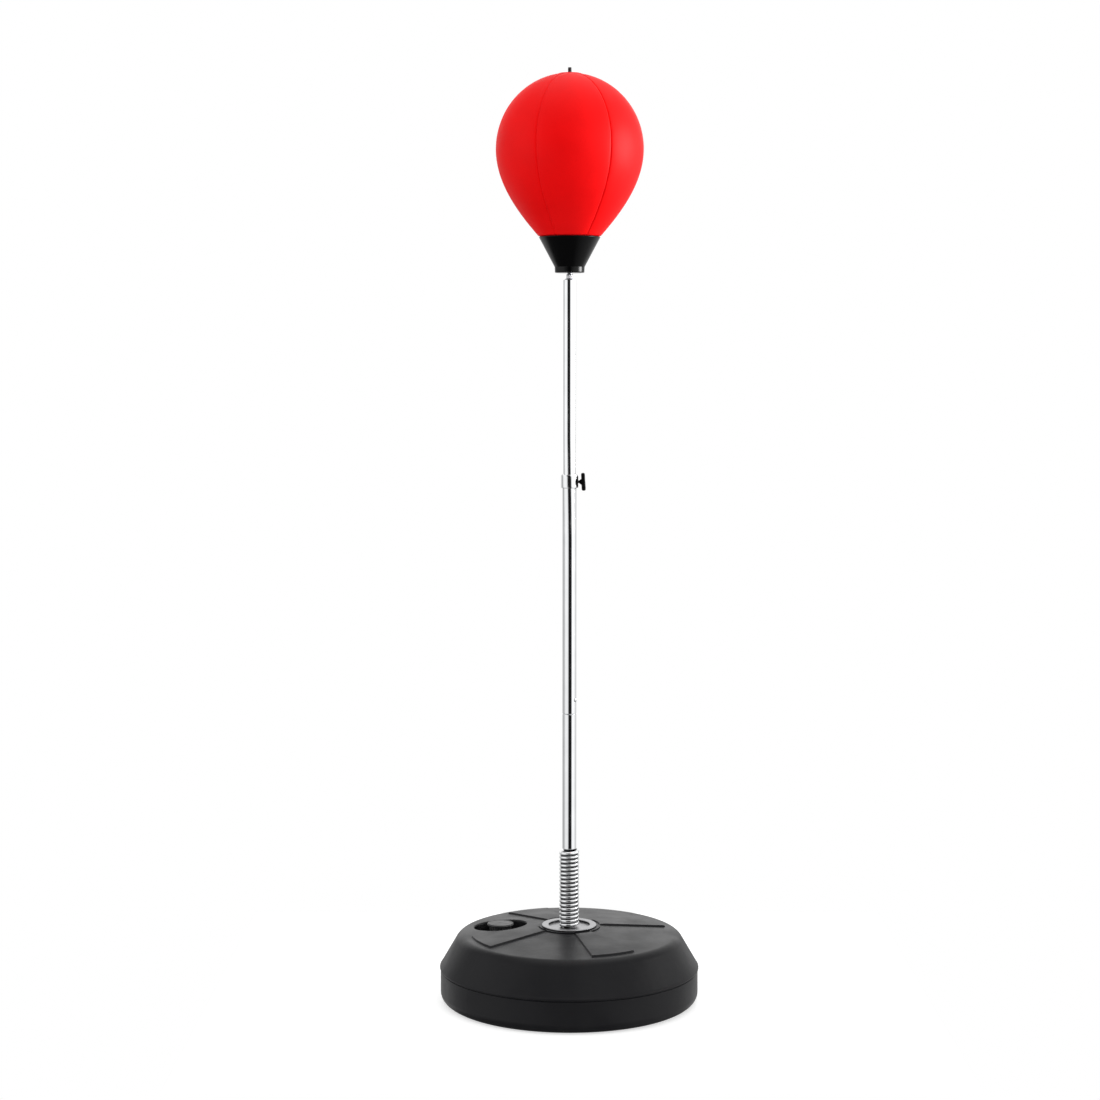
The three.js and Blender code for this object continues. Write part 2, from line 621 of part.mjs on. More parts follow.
function finish(color, roughness, metalness) {
  return new THREE.MeshStandardMaterial({ color, roughness, metalness });
}

const blackPlastic = finish(0x2b2b2e, 0.55, 0);
const capPlastic = finish(0x333336, 0.5, 0);
const glossBlack = finish(0x0d0d10, 0.25, 0);
const chrome = finish(0xe6e8ea, 0.08, 1);
const zincSteel = finish(0xb4b6ba, 0.4, 1);
const blackSteel = finish(0x222224, 0.4, 1);
const redSkin = finish(0xd8161a, 0.45, 0);
const blackRubber = finish(0x141414, 0.8, 0);
const latex = finish(0x7a2a22, 0.7, 0);
const springSteel = finish(0x8d9094, 0.3, 1);
const brass = finish(0xb08d43, 0.35, 1);

function piece(name, solid, material) {
  const mesh = new THREE.Mesh(toGeometry(solid), material);
  mesh.name = name;
  return mesh;
}

function group(position, turnDegrees, pieces) {
  const holder = new THREE.Group();
  holder.position.set(...position);
  holder.rotation.z = radians(turnDegrees);
  holder.add(...pieces);
  return holder;
}

const stand = new THREE.Group();

stand.add(
  piece('base_tank', baseTank(), blackPlastic),
  piece('hub_flange', hubFlange(), zincSteel),
  piece('centre_bolt', centreBolt(), zincSteel),
  piece('base_washer', washer(BASE_WASHER), zincSteel),
  piece('lock_washer', washer(LOCK_WASHER), springSteel),
  piece('spring_stub', springStub(), zincSteel),
  piece('coil_spring', coilSpring(), chrome),
);

stand.add(group([POCKET.x, POCKET.y, 0], 0, [
  piece('fill_cap', fillCap(), capPlastic),
  piece('cap_seal', capSeal(), blackRubber),
]));

stand.add(
  piece('lower_tube', lowerTube(), chrome),
  piece('middle_tube', middleTube(), chrome),
  piece('clamp_collar', clampCollar(), chrome),
  piece('upper_tube', upperTube(), chrome),
);

stand.add(group([0, 0, BUTTON.z], BUTTON.azimuth, [
  piece('snap_button', snapButton(), zincSteel),
  piece('button_clip', buttonClip(), springSteel),
]));

stand.add(group([0, 0, KNOB.z], 0, [
  piece('knob_boss', knobBoss(), glossBlack),
  piece('knob_screw', knobScrew(), blackSteel),
  piece('knob_handle', knobHandle(), glossBlack),
  piece('pressure_slug', pressureSlug(), brass),
]));

stand.add(
  piece('top_plug', topPlug(), zincSteel),
  piece('top_stud', rod(STUD.r, STUD.z0, STUD.z1, SMALL_ROUND), zincSteel),
  piece('stud_washer', washer(STUD_WASHER), zincSteel),
  piece('stud_nut', studNut(), zincSteel),
  piece('ball_cup', ballCup(), glossBlack),
  piece('anchor_disc', anchorDisc(), zincSteel),
  piece('top_patch', topPatch(), redSkin),
  piece('bladder', bladder(), latex),
  piece('valve_stem', valveStem(), blackRubber),
);

ballGores().forEach((gore, i) => stand.add(piece(`ball_gore_${i + 1}`, gore, redSkin)));

export default stand;
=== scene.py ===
"""Free-standing punching-ball stand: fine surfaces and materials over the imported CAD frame.

Sizes and outlines are in mm, and add_mesh turns them into metres. +Z is up and the front faces -Y.
"""

import math

import bmesh
import bpy
from mathutils import Matrix, Vector

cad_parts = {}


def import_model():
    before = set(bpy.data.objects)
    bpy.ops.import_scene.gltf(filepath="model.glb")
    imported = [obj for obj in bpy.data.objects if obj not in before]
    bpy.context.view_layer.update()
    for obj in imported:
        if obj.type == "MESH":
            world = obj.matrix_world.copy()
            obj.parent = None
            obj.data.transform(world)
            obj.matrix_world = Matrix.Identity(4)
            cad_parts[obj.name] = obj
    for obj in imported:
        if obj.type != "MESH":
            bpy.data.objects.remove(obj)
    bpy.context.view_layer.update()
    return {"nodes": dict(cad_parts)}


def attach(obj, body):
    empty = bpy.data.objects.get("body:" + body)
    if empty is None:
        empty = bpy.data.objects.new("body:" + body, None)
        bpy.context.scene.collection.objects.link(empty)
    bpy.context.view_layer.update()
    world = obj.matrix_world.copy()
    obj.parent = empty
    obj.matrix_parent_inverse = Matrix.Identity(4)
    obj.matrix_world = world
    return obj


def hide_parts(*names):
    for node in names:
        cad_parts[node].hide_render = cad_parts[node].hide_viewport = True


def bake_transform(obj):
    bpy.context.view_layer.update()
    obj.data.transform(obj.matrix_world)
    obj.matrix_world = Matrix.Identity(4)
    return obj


MM = 0.001
TAU = 2 * math.pi

# ---------------------------------------------------------------- driving sizes, in mm and degrees

ROUND = 192  # segments round the big turned pieces
TUBE_ROUND = 96  # segments round tubes and small turned pieces
SHARP = math.radians(32)  # edges sharper than this stay crisp
SUPPORT = 0.5  # an extra row this far past a fillet keeps the straight side's shading straight
SUPPORTED_SIDE = 6  # shorter sides go without that row

WALL_R, FOOT_FILLET, LIP_R = 215, 16, 216.2
SHOULDER_R, SHOULDER_Z, SHOULDER_FILLET, DOME_SLOPE = 184.5, 111.3, 18, 0.0855
BOSS_R, BOSS_Z, SEAT_R, SEAT_Z, BOLT_HOLE_R = 51.5, 124.3, 37.2, 120.6, 7
PAD_AZIMUTHS = (-64.4, 25.6, 115.6, 205.6)
PAD_RISE, PAD_OUTER_R, PAD_EDGE_Y, PAD_EDGE_SLOPE = 2.5, 166.5, 4.3, 0.2154
PAD_STEP = 1.7  # width of the moulded step round a pad
PAD_ABOVE_Z = 100  # the pads are raised on what lies above this
POCKET_X, POCKET_Y, POCKET_HALF_X, POCKET_HALF_Y, POCKET_FLOOR = -115.7, 33, 43.8, 38, 88
NECK_R, NECK_BORE_R, NECK_TOP = 14.9, 11.5, 110
NECK_THREADS, NECK_THREAD_PITCH = 5, 1.9
CAP_RIBS, CAP_RIB_POINTS = 24, 6  # ribs round the cap's skirt, and points to draw each

SPRING_R, WIRE_R, SPRING_PITCH, SPRING_TURNS = 13.55, 3.1, 6.7, 18.6
SPRING_START_Z, SPRING_START_ANGLE = 126.35, math.radians(-168)
SPRING_MIDDLE_Z = 189  # where the spring's lower half hands over to its upper half
STEPS_PER_TURN, WIRE_ROUND = 48, 20  # segments along a turn and round the wire

TUBE_R, TUBE_BORE = 11.65, 10.45
UPPER_R, UPPER_BORE = 10.25, 9.05
SEAM_Z, SPIGOT_TOP = 482, 545  # where the middle tube sits on the lower one, and its spigot's top
BUTTON_Z, BUTTON_AZIMUTH, BUTTON_HOLE_R = 505.4, math.radians(-32), 3.55
KNOB_Z, KNOB_THREADS, KNOB_THREAD_PITCH = 867, 11, 0.8
BOSS_SEAT_R = 14.05  # the hollow in the knob's boss, a little larger than the collar
BAR_X, BAR_HALF_LENGTH, BAR_HALF_X, BAR_HALF_Y = 22.8, 14.8, 3.5, 3.4
STUD_Z, STUD_THREADS, STUD_THREAD_PITCH = 1179, 44, 1.0

BALL_Z, BALL_R, CROWN_HEIGHT, TAIL_LENGTH = 1409, 120.5, 122, 195
GORES, FIRST_SEAM = 6, math.radians(-27 - 90)
SKIN = 2.2  # thickness of the leather
CUP_RIM_Z = 1269  # where the skin comes out of the cup
PATCH_R = 21


# ---------------------------------------------------------------- mesh helpers


def add_mesh(name, points, faces, material, body, nodes=()):
    """A mesh from points in mm, as a piece that rides on a body and stands for CAD nodes."""
    mesh = bpy.data.meshes.new(name)
    mesh.from_pydata([Vector(p) * MM for p in points], [], faces)
    mesh.validate()
    obj = bpy.data.objects.new(name, mesh)
    bpy.context.scene.collection.objects.link(obj)
    clean(obj)
    shade(obj)
    mesh.materials.append(material)
    if body:
        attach(obj, body)
    if nodes:
        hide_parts(*nodes)
    return obj


def clean(obj):
    """Merges points that coincide and turns every face outward."""
    bm = bmesh.new()
    bm.from_mesh(obj.data)
    bmesh.ops.remove_doubles(bm, verts=bm.verts, dist=1e-6)
    bmesh.ops.recalc_face_normals(bm, faces=bm.faces)
    bm.to_mesh(obj.data)
    bm.free()


def shade(obj):
    """Smooth shading that keeps sharp edges crisp."""
    obj.data.shade_smooth()
    obj.data.set_sharp_from_angle(angle=SHARP)


def rounded(outline, steps=5):
    """Replaces each corner (r, z, fillet) of an outline by an arc touching both of its sides."""
    points = []
    for i, corner in enumerate(outline):
        here = Vector(corner[:2])
        if len(corner) < 3:
            points.append(tuple(here))
            continue
        to_last = Vector(outline[i - 1][:2]) - here
        to_next = Vector(outline[(i + 1) % len(outline)][:2]) - here
        before, after = to_last.normalized(), to_next.normalized()
        half = before.angle(after) / 2
        centre = here + (before + after).normalized() * (corner[2] / math.sin(half))
        reach = corner[2] / math.tan(half)
        start = here + before * reach - centre
        sweep = (here + after * reach - centre).angle_signed(start)
        if to_last.length > SUPPORTED_SIDE:
            points.append(tuple(here + before * (reach + SUPPORT)))
        for k in range(steps + 1):
            turned = start.copy()
            turned.rotate(Matrix.Rotation(sweep * k / steps, 2))
            points.append(tuple(centre + turned))
        if to_next.length > SUPPORTED_SIDE:
            points.append(tuple(here + after * (reach + SUPPORT)))
    return points


def lathe_grid(profile, segments, closed):
    """Points and faces of a profile turned about Z. clean() merges the points on the axis."""
    points = [point for r, z in profile for point in circle(r, z, segments)]
    faces = []
    rows = len(profile)
    for i in range(rows if closed else rows - 1):
        for k in range(segments):
            a, b = i * segments + k, i * segments + (k + 1) % segments
            c = ((i + 1) % rows) * segments
            faces.append((a, b, c + (k + 1) % segments, c + k))
    return points, faces


def lathe(name, outline, material, body, nodes=(), segments=TUBE_ROUND, place=None):
    """A turned piece. Its outline is closed, or left open where both ends are on the axis."""
    profile = rounded(outline)
    on_axis = profile[0][0] == 0 and profile[-1][0] == 0
    points, faces = lathe_grid(profile, segments, not on_axis)
    if place:
        points = [place @ Vector(p) for p in points]
    return add_mesh(name, points, faces, material, body, nodes)


def sweep_rings(rings, closed_ends=True):
    """Points and faces of a skin over rings that have the same number of points."""
    n = len(rings[0])
    points = [p for ring in rings for p in ring]
    faces = []
    for i in range(len(rings) - 1):
        for k in range(n):
            a, b = i * n + k, i * n + (k + 1) % n
            faces.append((a, b, b + n, a + n))
    if closed_ends:
        faces.append(tuple(reversed(range(n))))
        faces.append(tuple(range(len(points) - n, len(points))))
    return points, faces


def cut(obj, cutter):
    """Cuts obj with cutter and removes the cutter."""
    modifier = obj.modifiers.new("cut", "BOOLEAN")
    modifier.object = cutter
    modifier.operation = "DIFFERENCE"
    modifier.solver = "EXACT"
    bpy.context.view_layer.update()
    graph = bpy.context.evaluated_depsgraph_get()
    mesh = bpy.data.meshes.new_from_object(obj.evaluated_get(graph))
    obj.modifiers.clear()
    obj.data = mesh
    bpy.data.objects.remove(cutter)
    shade(obj)


def circle(radius, z, steps):
    """Points of a level circle about Z."""
    angles = [TAU * k / steps for k in range(steps)]
    return [(radius * math.cos(angle), radius * math.sin(angle), z) for angle in angles]


def thread_rows(root, crest, start, pitch, count, flank, top, foot):
    """Outline rows of closed thread rings: root, crest and root again in each pitch."""
    rows = []
    for k in range(count):
        z = start + pitch * k
        rows += [(root, z), (crest, z + flank), (crest, z + top), (root, z + foot)]
    return rows


def smoothstep(t):
    """An S-shaped climb from 0 to 1 as t goes from 0 to 1."""
    t = min(1, max(0, t))
    return t * t * (3 - 2 * t)


def at(x=0, y=0, z=0):
    return Matrix.Translation((x, y, z))


ALONG_X = Matrix.Rotation(math.pi / 2, 4, "Y")
KNOB_PLACE = at(z=KNOB_Z) @ ALONG_X
BUTTON_PLACE = at(z=BUTTON_Z) @ Matrix.Rotation(BUTTON_AZIMUTH, 4, "Z") @ ALONG_X


# ---------------------------------------------------------------- material helpers


class Nodes:
    """Adds linked nodes to a node tree in one line each."""

    def node(self, kind, inputs=None, **settings):
        made = self.tree.nodes.new(kind)
        for key, value in settings.items():
            setattr(made, key, value)
        for key, value in (inputs or {}).items():
            if isinstance(value, bpy.types.NodeSocket):
                self.tree.links.new(value, made.inputs[key])
            else:
                made.inputs[key].default_value = value
        return made

    def ramp(self, value, *stops):
        """value mapped to greys or colours given as (position, colour) stops."""
        made = self.node("ShaderNodeValToRGB", {"Fac": value})
        elements = made.color_ramp.elements
        while len(elements) < len(stops):
            elements.new(0.5)
        for element, (position, color) in zip(elements, stops):
            element.position = position
            element.color = (*color, 1) if isinstance(color, tuple) else (color, color, color, 1)
        return made.outputs["Color"]

    def range(self, value, low, high, from_low=0.3, from_high=0.7):
        inputs = {"Value": value, "From Min": from_low, "From Max": from_high}
        inputs |= {"To Min": low, "To Max": high}
        return self.node("ShaderNodeMapRange", inputs).outputs["Result"]

    def math(self, operation, a, b=0.0):
        return self.node("ShaderNodeMath", {0: a, 1: b}, operation=operation).outputs[0]

    def mix(self, factor, a, b, blend="MIX"):
        inputs = {0: factor, 6: a, 7: b}
        return self.node("ShaderNodeMix", inputs, data_type="RGBA", blend_type=blend).outputs[2]


class Shader(Nodes):
    """One node material on object coordinates, in metres."""

    def __init__(self, name, color, roughness, metallic=0.0, **values):
        self.material = bpy.data.materials.new(name)
        self.material.use_nodes = True
        self.tree = self.material.node_tree
        self.surface = self.tree.nodes["Principled BSDF"]
        self.set("Base Color", (*color, 1))
        self.set("Roughness", roughness)
        self.set("Metallic", metallic)
        for key, value in values.items():
            self.set(key.replace("_", " ").title().replace("Ior", "IOR"), value)
        self.where = self.tree.nodes.new("ShaderNodeTexCoord").outputs["Object"]

    def set(self, socket, value):
        self.surface.inputs[socket].default_value = value

    def stretched(self, scale):
        inputs = {"Vector": self.where, "Scale": scale}
        return self.node("ShaderNodeMapping", inputs).outputs["Vector"]

    def noise(self, size_mm, detail=3.0, vector=None, rough=0.55):
        inputs = {"Vector": vector or self.where, "Scale": 1 / (size_mm * MM)}
        inputs |= {"Detail": detail, "Roughness": rough}
        return self.node("ShaderNodeTexNoise", inputs).outputs["Fac"]

    def cells(self, size_mm, feature="F1", output="Distance"):
        inputs = {"Vector": self.where, "Scale": 1 / (size_mm * MM)}
        return self.node("ShaderNodeTexVoronoi", inputs, feature=feature).outputs[output]

    def link(self, socket, value):
        self.tree.links.new(value, self.surface.inputs[socket])

    def bump(self, height, strength, depth_mm, below=None):
        inputs = {"Height": height, "Strength": strength, "Distance": depth_mm * MM}
        if below:
            inputs["Normal"] = below
        return self.node("ShaderNodeBump", inputs).outputs["Normal"]

    def edges(self, low, high):
        """How much a spot sticks out, by the mesh's own curvature: 0 on flats, 1 on sharp edges."""
        return self.range(self.pointiness(), 0, 1, low, high)

    def pointiness(self):
        return self.node("ShaderNodeNewGeometry").outputs["Pointiness"]


# ---------------------------------------------------------------- materials


def tank_plastic():
    """Blow-moulded polyethylene: slow clouds, fine grain, long scuffs, paler edges: wear and
    painted highlight.
    """
    s = Shader("tank_plastic", (0.006, 0.006, 0.007), 0.34, specular_ior_level=0.17)
    cloud = s.noise(60, 4)
    grain = s.noise(0.55, 2)
    tint = s.ramp(cloud, (0.3, (0.005, 0.005, 0.006)), (0.7, (0.0075, 0.0075, 0.0085)))
    # painted highlight: sharp edges get a paler colour, partly wear and partly the highlight
    # rounded edges catch
    wear_and_highlight = s.mix(s.edges(0.52, 0.6), tint, (0.03, 0.03, 0.032, 1))
    scuffs = s.ramp(s.noise(14, 8, s.stretched((1, 0.25, 1)), 0.7), (0.62, 0.0), (0.72, 0.35))
    s.link("Base Color", s.mix(scuffs, wear_and_highlight, (0.013, 0.013, 0.014, 1)))
    uneven = s.math("ADD", cloud, s.math("MULTIPLY", grain, 0.3))
    s.link("Roughness", s.range(uneven, 0.32, 0.42, 0.5, 0.8))
    below = s.bump(s.noise(18, 2), 0.12, 1.5)
    s.link("Normal", s.bump(grain, 0.35, 0.12, below))
    return s.material


def moulded(name, color, roughness, grain_mm=0.4, **values):
    """Small moulded plastic parts: fine grain, a faint flow pattern and lighter rubbed edges."""
    s = Shader(name, color, roughness, **values)
    flow = s.noise(9, 5, s.stretched((1, 1, 0.35)))
    grain = s.noise(grain_mm, 2)
    dark = tuple(c * 0.85 for c in color)
    light = tuple(min(1, c * 1.15) for c in color)
    rubbed = tuple(min(1, c * 1.6 + 0.002) for c in color)
    tint = s.ramp(flow, (0.3, dark), (0.7, light))
    s.link("Base Color", s.mix(s.edges(0.53, 0.62), tint, (*rubbed, 1)))
    s.link("Roughness", s.range(flow, roughness * 0.85, roughness * 1.2))
    s.link("Normal", s.bump(grain, 0.2, 0.05))
    return s.material


def chrome(name="chrome", roughness=0.05, crevice_mm=0.0):
    """Bright plate: haze, faint draw lines, a few fine scratches, and painted shade darkening its
    crevices.
    """
    s = Shader(name, (0.86, 0.87, 0.88), roughness, 1.0)
    haze = s.noise(25, 5)
    drawn = s.noise(0.8, 3, s.stretched((1, 1, 0.012)))
    scratch = s.ramp(s.noise(2.5, 2, s.stretched((1, 1, 0.05)), 0.3), (0.66, 0.0), (0.72, 1.0))
    plate = s.ramp(haze, (0.3, (0.84, 0.85, 0.86)), (0.7, (0.91, 0.92, 0.93)))
    if crevice_mm:
        # painted shade: ambient occlusion turns the plate near black where surfaces crowd close, as
        # between the spring's coils
        openness = s.node("ShaderNodeAmbientOcclusion", {"Distance": crevice_mm * MM}).outputs["AO"]
        plate = s.mix(s.range(openness, 1, 0, 0.5, 0.95), plate, (0.03, 0.03, 0.032, 1))
    s.link("Base Color", plate)
    shiny = s.range(haze, roughness * 0.6, roughness * 1.7)
    s.link("Roughness", s.math("ADD", shiny, s.math("MULTIPLY", scratch, 0.06)))
    s.link("Normal", s.bump(drawn, 0.03, 0.02))
    return s.material


def plated(name, color, roughness, grain_mm=0.35):
    """Dull zinc plate: crystalline spangle, grain and darker stains."""
    s = Shader(name, color, roughness, 1.0)
    spangle = s.cells(1.1, output="Color")
    grain = s.noise(grain_mm, 3)
    stain = s.noise(7, 6)
    dark = tuple(c * 0.72 for c in color)
    tint = s.ramp(stain, (0.35, dark), (0.65, color))
    s.link("Base Color", s.mix(0.12, tint, spangle, "OVERLAY"))
    s.link("Roughness", s.range(grain, roughness * 0.8, roughness * 1.25))
    s.link("Normal", s.bump(grain, 0.3, 0.04))
    return s.material


def flange_steel():
    """Blasted and plated pressing: sparkling grain, and painted shade on its edge and its dish's
    wall.
    """
    s = Shader("flange_steel", (0.55, 0.55, 0.56), 0.4, 1.0)
    grain = s.noise(0.9, 4, rough=0.75)
    stain = s.noise(12, 5)
    tint = s.ramp(grain, (0.3, (0.13, 0.13, 0.135)), (0.68, (0.5, 0.5, 0.51)))
    plate = s.mix(s.range(stain, 0, 0.35), tint, (0.4, 0.4, 0.41, 1))
    # painted shade: the flange's outer edge, its underside and its dish's inner wall are darkened
    # nearly to black
    x, y, z = s.node("ShaderNodeSeparateXYZ", {0: s.where}).outputs
    radius = s.math("SQRT", s.math("ADD", s.math("MULTIPLY", x, x), s.math("MULTIPLY", y, y)))
    outward = s.range(radius, 0, 1, 33.2 * MM, 33.7 * MM)
    wall_shade = s.math("MULTIPLY", outward, s.range(z, 1, 0, 125.5 * MM, 126 * MM))
    s.link("Base Color", s.mix(wall_shade, plate, (0.012, 0.012, 0.013, 1)))
    s.link("Roughness", s.range(grain, 0.25, 0.45))
    s.link("Normal", s.bump(grain, 0.4, 0.15))
    return s.material


def ball_leather():
    """Smooth coated leather: small pebbled grain, a slow wash of colour, and darker seams."""
    s = Shader("ball_leather", (0.85, 0.002, 0.003), 0.5, specular_ior_level=0.1)
    pebble = s.cells(1.3, "SMOOTH_F1")
    pores = s.noise(0.5, 3)
    wash = s.noise(70, 4)
    tint = s.ramp(wash, (0.3, (0.82, 0.0012, 0.002)), (0.7, (0.9, 0.002, 0.003)))
    shaded = s.mix(s.range(pebble, 0.0, 0.12, 0.35, 0.8), tint, (0.5, 0.001, 0.002, 1))
    crease = s.range(s.pointiness(), 0.75, 0, 0.42, 0.49)
    s.link("Base Color", s.mix(crease, shaded, (0.2, 0.001, 0.002, 1)))
    s.link("Roughness", s.range(wash, 0.48, 0.57))
    below = s.bump(s.noise(28, 3), 0.12, 1.2)
    s.link("Normal", s.bump(pores, 0.12, 0.04, s.bump(pebble, 0.22, 0.1, below)))
    return s.material


def rubber(name, color):
    """Dull rubber: fine grain and paler bloom."""
    s = Shader(name, color, 0.75)
    bloom = s.noise(3, 5)
    grain = s.noise(0.3, 2)
    light = tuple(c * 1.6 + 0.004 for c in color)
    s.link("Base Color", s.ramp(bloom, (0.35, color), (0.75, light)))
    s.link("Roughness", s.range(bloom, 0.65, 0.85))
    s.link("Normal", s.bump(grain, 0.3, 0.05))
    return s.material


def floor_paint():
    """A pale floor with a glow of its own, so that the shadow on it stays faint."""
    s = Shader("pale_floor", (0.7, 0.7, 0.7), 0.7, specular_ior_level=0.1, emission_strength=0.55)
    s.set("Emission Color", (1, 1, 1, 1))
    mottle = s.noise(300, 2)
    s.link("Base Color", s.ramp(mottle, (0.3, 0.69), (0.7, 0.71)))
    return s.material


# ---------------------------------------------------------------- base


def dome_z(r):
    return SHOULDER_Z + (SHOULDER_R - r) * DOME_SLOPE


def pad_half_angle(r):
    """Half the angle a fan pad takes up at radius r. Its sides are straight and spread outward."""
    half = 0.25
    for _ in range(6):
        half = math.asin((PAD_EDGE_Y + PAD_EDGE_SLOPE * r * math.cos(half)) / r)
    return half


def between(start, end, count):
    """The angles that divide start to end into count parts, without the two ends."""
    return [start + (end - start) * k / count for k in range(1, count)]


def tank_columns(r):
    """Angles of the tank's columns at radius r, with how far each lies inside a pad's side."""
    r = min(max(r, BOSS_R), PAD_OUTER_R)
    half = pad_half_angle(r)
    near_side = (-1.2, -0.2, 0.25, 0.7, 1.15, 1.6, 2.6)
    on_pad, off_pad = 12, 22  # steps across a pad and across the gap to the next one
    deep_inside, far_outside = 99, -99
    columns = []
    for i, azimuth in enumerate(PAD_AZIMUTHS):
        middle = math.radians(azimuth)
        following = math.radians(PAD_AZIMUTHS[(i + 1) % 4] + (360 if i == 3 else 0))
        first = [(middle - half + d / r, d) for d in near_side]
        last = [(middle + half - d / r, d) for d in reversed(near_side)]
        next_start = following - half + near_side[0] / r
        columns += first
        columns += [(angle, deep_inside) for angle in between(first[-1][0], last[0][0], on_pad)]
        columns += last
        columns += [(angle, far_outside) for angle in between(last[-1][0], next_start, off_pad)]
    return columns


def pad_height(r, inside_side):
    """How far the dome stands up at radius r, at that distance inside a pad's side."""
    if r < BOSS_R - 0.01 or inside_side < 0:
        return 0
    side = smoothstep(inside_side / PAD_STEP)
    arc = smoothstep((PAD_OUTER_R - r) / PAD_STEP)
    rise = min(PAD_RISE, BOSS_Z - dome_z(r))
    return rise * side * arc


def tank_profile():
    """The tank's outside as (r, z) rows, from the bolt hole underneath round to the one on top."""
    under = [
        (BOLT_HOLE_R, 18), (46, 18, 1.5), (48, 6, 1.5), (112, 6, 2), (116, 0, 1.5),
        (WALL_R, 0, FOOT_FILLET),
    ]
    lip = [
        (WALL_R, 52.6, 0.8), (213.7, 53.6, 0.4), (213.7, 54.4, 0.3), (LIP_R, 55.4, 0.7),
        (LIP_R, 57.6, 1.0), (214.2, 60.4, 1.5),
    ]
    top = [(SHOULDER_R, SHOULDER_Z, SHOULDER_FILLET), (BOSS_R + 4, dome_z(BOSS_R + 4))]
    hub = [
        (BOSS_R, dome_z(BOSS_R)), (BOSS_R, BOSS_Z), (BOSS_R - 1.2, BOSS_Z), (SEAT_R, BOSS_Z),
        (SEAT_R, SEAT_Z), (BOLT_HOLE_R, SEAT_Z),
    ]
    rows = rounded(under + lip + top, 8)[:-1]
    near_arc = [PAD_OUTER_R - d for d in (-1.2, 0, 0.4, 0.85, 1.3, 1.7, 3)]
    dome = [(r, dome_z(r)) for r in (172, 169.5, *near_arc, *range(156, 50, -8))]
    return rows + dome + hub


def pocket_ring(grow, height):
    """A ring of the filler pocket's oval, that much larger, with height giving its z at (x, y)."""
    ring = []
    for across, along, _ in circle(1, 0, 96):
        x = POCKET_X + (POCKET_HALF_X + grow) * across
        y = POCKET_Y + (POCKET_HALF_Y + grow) * along
        ring.append((x, y, height(x, y)))
    return ring


def pocket_cutter():
    """The oval well for the filler cap: filleted floor, upright wall and a rim that rolls over."""
    rings = []
    for grow, rise in ((-6, 0), (-3, 0.6), (-1.6, 1.6), (-0.6, 3.2), (0, 6)):
        rings.append(pocket_ring(grow, lambda x, y: POCKET_FLOOR + rise))
    for grow, drop in ((0.2, 3.2), (0.5, 1.7), (1.1, 0.75), (1.9, 0.2), (3.4, -0.05), (5.5, -6)):
        rings.append(pocket_ring(grow, lambda x, y: dome_z(math.hypot(x, y)) - drop))
    points, faces = sweep_rings(rings)
    return add_mesh("pocket_cutter", points, faces, None, None)


def tank_skin():
    """Points and faces of the tank: its profile turned about Z, with the fan pads raised."""
    rings = []
    for r, z in tank_profile():
        ring = []
        for angle, inside_side in tank_columns(r):
            rise = pad_height(r, inside_side) if z > PAD_ABOVE_Z else 0
            ring.append((r * math.cos(angle), r * math.sin(angle), z + rise))
        rings.append(ring)
    rings.append(rings[0])
    return sweep_rings(rings, False)


def base_tank(material):
    points, faces = tank_skin()
    tank = add_mesh("tank_shell", points, faces, material, None)
    cut(tank, pocket_cutter())
    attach(tank, "base")
    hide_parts("base_tank")


def filler_neck(material):
    """The threaded neck that stands in the filler pocket."""
    root = NECK_R - 0.9
    foot = [
        (NECK_BORE_R, POCKET_FLOOR - 1), (NECK_R + 3, POCKET_FLOOR - 1),
        (NECK_R + 1.2, POCKET_FLOOR + 0.6), (NECK_R, POCKET_FLOOR + 2.4, 1),
    ]
    start = POCKET_FLOOR + 12
    thread = thread_rows(
        root, NECK_R, start, NECK_THREAD_PITCH, NECK_THREADS, flank=0.6, top=1, foot=1.6,
    )
    mouth = [(root, NECK_TOP, 0.5), (NECK_BORE_R, NECK_TOP, 0.5)]
    lathe("filler_neck", foot + thread + mouth, material, "base", place=at(POCKET_X, POCKET_Y))


def fill_cap(material):
    """A mushroom cap: a flat crowned disc over a ribbed skirt."""
    disc = [
        (0, 116.5), (17, 116.5), (21.9, 116.7, 0.5), (22.4, 118.3, 1.2), (21.2, 120.5, 0.9),
        (19.8, 120.5, 0.3), (19.3, 120.1, 0.3), (0, 120.25),
    ]
    lathe("cap_disc", disc, material, "fill_cap", ["fill_cap"], place=at(POCKET_X, POCKET_Y))
    # Radius, height and how far the ribs stand out, from the skirt's lower end up.
    levels = (
        (15.5, 100, 0), (17.3, 100.1, 0.2), (17.6, 100.8, 1), (17.6, 114.8, 1), (17.4, 116.8, 0.6),
    )
    points, faces = sweep_rings([skirt_ring(*level) for level in levels])
    add_mesh("cap_skirt", points, faces, material, "fill_cap")


def skirt_ring(r, z, rib):
    """A ring of the cap's skirt, with its ribs standing out by that much."""
    steps = CAP_RIBS * CAP_RIB_POINTS
    ring = []
    for k in range(steps):
        crest = 0.5 + 0.5 * math.cos(TAU * k / CAP_RIB_POINTS)
        radius = r + rib * smoothstep(crest * 1.3)
        angle = TAU * k / steps
        ring.append((POCKET_X + radius * math.cos(angle), POCKET_Y + radius * math.sin(angle), z))
    return ring


# ---------------------------------------------------------------- hub and spring


